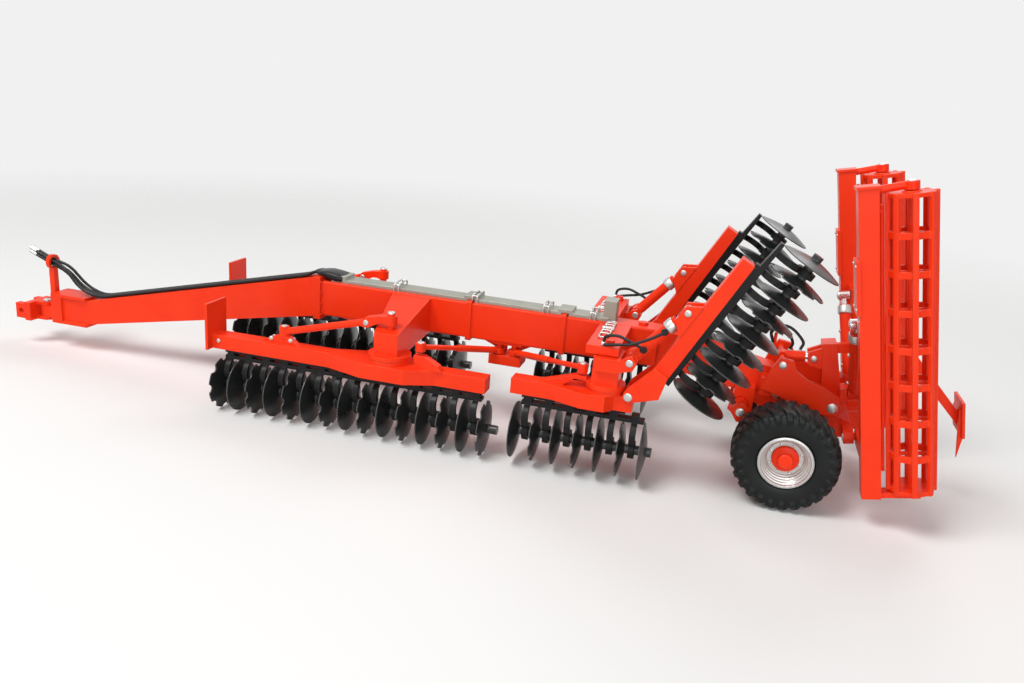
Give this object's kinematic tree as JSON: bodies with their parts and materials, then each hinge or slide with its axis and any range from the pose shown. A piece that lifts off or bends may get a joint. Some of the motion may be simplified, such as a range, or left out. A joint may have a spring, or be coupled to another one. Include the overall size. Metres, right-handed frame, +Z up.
{
  "type": "scale model of a trailed folding disc harrow",
  "caption": "Die-cast style scale model of a large trailed X-type disc harrow, folded for transport, with turning gangs, folding wings, rollers and rolling wheels",
  "frame": {"origin": "on the ground at the middle of the model's length and width", "axes": "+X is the rear of the machine, away from the hitch; +Y is the machine's right-hand side; +Z is up"},
  "size_m": [0.3703, 0.0798, 0.1069],
  "materials": {
    "red_paint": "semi-gloss vermilion paint",
    "disc_steel": "glossy blackened steel discs",
    "black_frame": "satin black hangers and rails",
    "tyre_rubber": "matt black lugged tyre",
    "silver_metal": "silver painted, slightly rough",
    "bright_rod": "bright plated rod",
    "hose_black": "satin black hose"
  },
  "bodies": {
    "root": {"main_beam": "red_paint", "drawbar": "red_paint", "cable_tray": "silver_metal", "drawbar_hoses": "hose_black", "hose_couplings": "silver_metal", "carriage": "red_paint", "front_outrigger_left": "red_paint", "front_outrigger_right": "red_paint", "rear_outrigger_left": "red_paint", "rear_outrigger_right": "red_paint"},
    "hitch": {"hitch_fork": "red_paint"},
    "axle": {"axle_arms": "red_paint"},
    "mount": {"roller_mount": "red_paint", "marker_board": "red_paint"},
    "tilt_barrel": {"tilt_barrel": "red_paint"},
    "tilt_rod": {"tilt_rod": "bright_rod"},
    "wheel_left": {"wheel_left": "silver_metal", "tyre_left": "tyre_rubber"},
    "front_gang_left": {"front_gang_beam_left": "red_paint", "front_hangers_left": "black_frame"},
    "front_rotor_left": {"front_discs_left": "disc_steel"},
    "rear_gang_left": {"rear_gang_beam_left": "red_paint", "rear_hangers_left": "black_frame"},
    "rear_rotor_left": {"rear_discs_left": "disc_steel"},
    "wing_left": {"wing_beam_left": "red_paint", "wing_hangers_left": "black_frame"},
    "wing_rotor_left": {"wing_discs_left": "disc_steel"},
    "wing_barrel_left": {"wing_barrel_left": "red_paint"},
    "wing_rod_left": {"wing_rod_left": "bright_rod"},
    "front_tie_sleeve_left": {"front_tie_sleeve_left": "red_paint"},
    "front_tie_rod_left": {"front_tie_rod_left": "red_paint"},
    "rear_tie_sleeve_left": {"rear_tie_sleeve_left": "red_paint"},
    "rear_tie_rod_left": {"rear_tie_rod_left": "red_paint"},
    "roller_left": {"roller_frame_left": "red_paint"},
    "cage_left": {"roller_cage_left": "red_paint"},
    "fold_barrel_left": {"fold_barrel_left": "red_paint"},
    "fold_rod_left": {"fold_rod_left": "bright_rod"},
    "wheel_right": {"wheel_right": "silver_metal", "tyre_right": "tyre_rubber"},
    "front_gang_right": {"front_gang_beam_right": "red_paint", "front_hangers_right": "black_frame"},
    "front_rotor_right": {"front_discs_right": "disc_steel"},
    "rear_gang_right": {"rear_gang_beam_right": "red_paint", "rear_hangers_right": "black_frame"},
    "rear_rotor_right": {"rear_discs_right": "disc_steel"},
    "wing_right": {"wing_beam_right": "red_paint", "wing_hangers_right": "black_frame"},
    "wing_rotor_right": {"wing_discs_right": "disc_steel"},
    "wing_barrel_right": {"wing_barrel_right": "red_paint"},
    "wing_rod_right": {"wing_rod_right": "bright_rod"},
    "front_tie_sleeve_right": {"front_tie_sleeve_right": "red_paint"},
    "front_tie_rod_right": {"front_tie_rod_right": "red_paint"},
    "rear_tie_sleeve_right": {"rear_tie_sleeve_right": "red_paint"},
    "rear_tie_rod_right": {"rear_tie_rod_right": "red_paint"},
    "roller_right": {"roller_frame_right": "red_paint"},
    "cage_right": {"roller_cage_right": "red_paint"},
    "fold_barrel_right": {"fold_barrel_right": "red_paint"},
    "fold_rod_right": {"fold_rod_right": "bright_rod"}
  },
  "joints": [
    {"name": "hitch_swivel", "type": "hinge", "parent": "root", "child": "hitch", "pos_m": [-0.1745, 0, 0.0143], "axis": [0, 0, 1], "range_deg": [-45, 45]},
    {"name": "axle_lift", "type": "hinge", "parent": "root", "child": "axle", "pos_m": [0.1145, 0, 0.0255], "axis": [0, -1, 0], "range_deg": [0, 12]},
    {"name": "roller_tilt", "type": "hinge", "parent": "root", "child": "mount", "pos_m": [0.1431, 0, 0.0304], "axis": [0, 1, 0], "range_deg": [0, 8]},
    {"name": "tilt_barrel_turn", "type": "hinge", "parent": "root", "child": "tilt_barrel", "pos_m": [0.1256, 0, 0.0424], "axis": [0, 1, 0], "range_deg": [-3.33, 0]},
    {"name": "tilt_rod_slide", "type": "slide", "parent": "tilt_barrel", "child": "tilt_rod", "axis": [0.995, 0, 0.0998], "range_m": [0, 0.00198]},
    {"name": "wheel_left_spin", "type": "hinge", "parent": "axle", "child": "wheel_left", "pos_m": [0.13, -0.0257, 0.017], "axis": [0, 1, 0], "continuous": true},
    {"name": "front_gang_left_turn", "type": "hinge", "parent": "root", "child": "front_gang_left", "pos_m": [-0.0044, -0.0303, 0.0297], "axis": [0, 0, 1], "range_deg": [0, 65]},
    {"name": "front_rotor_left_spin", "type": "hinge", "parent": "front_gang_left", "child": "front_rotor_left", "pos_m": [-0.0044, -0.0303, 0.0096], "axis": [1, 0, 0], "continuous": true},
    {"name": "rear_gang_left_turn", "type": "hinge", "parent": "root", "child": "rear_gang_left", "pos_m": [0.071, -0.0303, 0.043], "axis": [0, 0, -1], "range_deg": [0, 60]},
    {"name": "rear_rotor_left_spin", "type": "hinge", "parent": "rear_gang_left", "child": "rear_rotor_left", "pos_m": [0.071, -0.0303, 0.0114], "axis": [1, 0, 0], "continuous": true},
    {"name": "wing_left_unfold", "type": "hinge", "parent": "rear_gang_left", "child": "wing_left", "pos_m": [0.0791, -0.0303, 0.031], "axis": [0, 1, 0], "range_deg": [0, 60.5]},
    {"name": "wing_rotor_left_spin", "type": "hinge", "parent": "wing_left", "child": "wing_rotor_left", "pos_m": [0.11348, -0.0303, 0.05521], "axis": [0.4924, 0, 0.8704], "continuous": true},
    {"name": "wing_barrel_left_turn", "type": "hinge", "parent": "rear_gang_left", "child": "wing_barrel_left", "pos_m": [0.0784, -0.0303, 0.0426], "axis": [0, 1, 0], "range_deg": [0, 66.45]},
    {"name": "wing_rod_left_slide", "type": "slide", "parent": "wing_barrel_left", "child": "wing_rod_left", "axis": [0.6558, 0, 0.7549], "range_m": [0, 0.01158]},
    {"name": "front_tie_left_turn", "type": "hinge", "parent": "root", "child": "front_tie_sleeve_left", "pos_m": [0.027, -0.0023, 0.029], "axis": [0, 0, -1], "range_deg": [0, 20.55]},
    {"name": "front_tie_left_slide", "type": "slide", "parent": "front_tie_sleeve_left", "child": "front_tie_rod_left", "axis": [-0.5284, -0.828, 0.1879], "range_m": [-0.00573, 0]},
    {"name": "rear_tie_left_turn", "type": "hinge", "parent": "root", "child": "rear_tie_sleeve_left", "pos_m": [0.0326, -0.0023, 0.029], "axis": [0, 0, 1], "range_deg": [0, 11.16]},
    {"name": "rear_tie_left_slide", "type": "slide", "parent": "rear_tie_sleeve_left", "child": "rear_tie_rod_left", "axis": [0.7225, -0.6654, 0.1877], "range_m": [-0.000971, 0]},
    {"name": "roller_left_fold", "type": "hinge", "parent": "mount", "child": "roller_left", "pos_m": [0.15262, -0.0152, 0.02352], "axis": [0.981, 0, 0.1942], "range_deg": [0, 90]},
    {"name": "cage_left_spin", "type": "hinge", "parent": "roller_left", "child": "cage_left", "pos_m": [0.15875, -0.03, 0.05898], "axis": [-0.1942, 0, 0.981], "continuous": true},
    {"name": "fold_barrel_left_turn", "type": "hinge", "parent": "mount", "child": "fold_barrel_left", "pos_m": [0.14931, -0.008, 0.0351], "axis": [0.981, 0, 0.1942], "range_deg": [0, 85.68]},
    {"name": "fold_rod_left_slide", "type": "slide", "parent": "fold_barrel_left", "child": "fold_rod_left", "axis": [-0.1763, -0.4199, 0.8903], "range_m": [0, 0.01958]},
    {"name": "wheel_right_spin", "type": "hinge", "parent": "axle", "child": "wheel_right", "pos_m": [0.13, 0.0257, 0.017], "axis": [0, 1, 0], "continuous": true},
    {"name": "front_gang_right_turn", "type": "hinge", "parent": "root", "child": "front_gang_right", "pos_m": [-0.0334, 0.0303, 0.0297], "axis": [0, 0, -1], "range_deg": [0, 65]},
    {"name": "front_rotor_right_spin", "type": "hinge", "parent": "front_gang_right", "child": "front_rotor_right", "pos_m": [-0.0334, 0.0303, 0.0096], "axis": [1, 0, 0], "continuous": true},
    {"name": "rear_gang_right_turn", "type": "hinge", "parent": "root", "child": "rear_gang_right", "pos_m": [0.065, 0.0303, 0.043], "axis": [0, 0, 1], "range_deg": [0, 60]},
    {"name": "rear_rotor_right_spin", "type": "hinge", "parent": "rear_gang_right", "child": "rear_rotor_right", "pos_m": [0.065, 0.0303, 0.0114], "axis": [1, 0, 0], "continuous": true},
    {"name": "wing_right_unfold", "type": "hinge", "parent": "rear_gang_right", "child": "wing_right", "pos_m": [0.0731, 0.0303, 0.031], "axis": [0, 1, 0], "range_deg": [0, 60.5]},
    {"name": "wing_rotor_right_spin", "type": "hinge", "parent": "wing_right", "child": "wing_rotor_right", "pos_m": [0.10748, 0.0303, 0.05521], "axis": [0.4924, 0, 0.8704], "continuous": true},
    {"name": "wing_barrel_right_turn", "type": "hinge", "parent": "rear_gang_right", "child": "wing_barrel_right", "pos_m": [0.0724, 0.0303, 0.0426], "axis": [0, 1, 0], "range_deg": [0, 66.45]},
    {"name": "wing_rod_right_slide", "type": "slide", "parent": "wing_barrel_right", "child": "wing_rod_right", "axis": [0.6558, 0, 0.7549], "range_m": [0, 0.01158]},
    {"name": "front_tie_right_turn", "type": "hinge", "parent": "root", "child": "front_tie_sleeve_right", "pos_m": [0.027, 0.0023, 0.029], "axis": [0, 0, 1], "range_deg": [0, 13.29]},
    {"name": "front_tie_right_slide", "type": "slide", "parent": "front_tie_sleeve_right", "child": "front_tie_rod_right", "axis": [-0.8407, 0.5281, 0.1199], "range_m": [-0.000985, 0]},
    {"name": "rear_tie_right_turn", "type": "hinge", "parent": "root", "child": "rear_tie_sleeve_right", "pos_m": [0.0326, 0.0023, 0.029], "axis": [0, 0, -1], "range_deg": [0, 12.36]},
    {"name": "rear_tie_right_slide", "type": "slide", "parent": "rear_tie_sleeve_right", "child": "rear_tie_rod_right", "axis": [0.6426, 0.7374, 0.2081], "range_m": [-0.00173, 0]},
    {"name": "roller_right_fold", "type": "hinge", "parent": "mount", "child": "roller_right", "pos_m": [0.15262, 0.0152, 0.02352], "axis": [-0.981, 0, -0.1942], "range_deg": [0, 90]},
    {"name": "cage_right_spin", "type": "hinge", "parent": "roller_right", "child": "cage_right", "pos_m": [0.15875, 0.03, 0.05898], "axis": [-0.1942, 0, 0.981], "continuous": true},
    {"name": "fold_barrel_right_turn", "type": "hinge", "parent": "mount", "child": "fold_barrel_right", "pos_m": [0.14931, 0.008, 0.0351], "axis": [-0.981, 0, -0.1942], "range_deg": [0, 85.68]},
    {"name": "fold_rod_right_slide", "type": "slide", "parent": "fold_barrel_right", "child": "fold_rod_right", "axis": [-0.1763, 0.4199, 0.8903], "range_m": [0, 0.01958]}
  ],
  "couplings": [
    {"joint": "tilt_barrel_turn", "follows": "roller_tilt", "ratio": -0.41601},
    {"joint": "tilt_rod_slide", "follows": "roller_tilt", "m_per_rad": 0.01421},
    {"joint": "wing_left_unfold", "follows": "rear_gang_left_turn", "ratio": 1.0083},
    {"joint": "wing_barrel_left_turn", "follows": "rear_gang_left_turn", "ratio": 1.0925},
    {"joint": "wing_rod_left_slide", "follows": "rear_gang_left_turn", "m_per_rad": 0.010914},
    {"joint": "front_tie_left_slide", "follows": "front_gang_left_turn", "m_per_rad": -0.005053},
    {"joint": "front_tie_left_turn", "follows": "front_gang_left_turn", "ratio": 0.31616},
    {"joint": "rear_tie_left_slide", "follows": "rear_gang_left_turn", "m_per_rad": -0.000927},
    {"joint": "rear_tie_left_turn", "follows": "rear_gang_left_turn", "ratio": 0.18595},
    {"joint": "fold_barrel_left_turn", "follows": "roller_left_fold", "ratio": 0.95191},
    {"joint": "fold_rod_left_slide", "follows": "roller_left_fold", "m_per_rad": 0.012466},
    {"joint": "wing_right_unfold", "follows": "rear_gang_right_turn", "ratio": 1.0083},
    {"joint": "wing_barrel_right_turn", "follows": "rear_gang_right_turn", "ratio": 1.0925},
    {"joint": "wing_rod_right_slide", "follows": "rear_gang_right_turn", "m_per_rad": 0.010914},
    {"joint": "front_tie_right_slide", "follows": "front_gang_right_turn", "m_per_rad": -0.000868},
    {"joint": "front_tie_right_turn", "follows": "front_gang_right_turn", "ratio": 0.20447},
    {"joint": "rear_tie_right_slide", "follows": "rear_gang_right_turn", "m_per_rad": -0.001657},
    {"joint": "rear_tie_right_turn", "follows": "rear_gang_right_turn", "ratio": 0.20593},
    {"joint": "fold_barrel_right_turn", "follows": "roller_right_fold", "ratio": 0.95191},
    {"joint": "fold_rod_right_slide", "follows": "roller_right_fold", "m_per_rad": 0.012466}
  ]
}
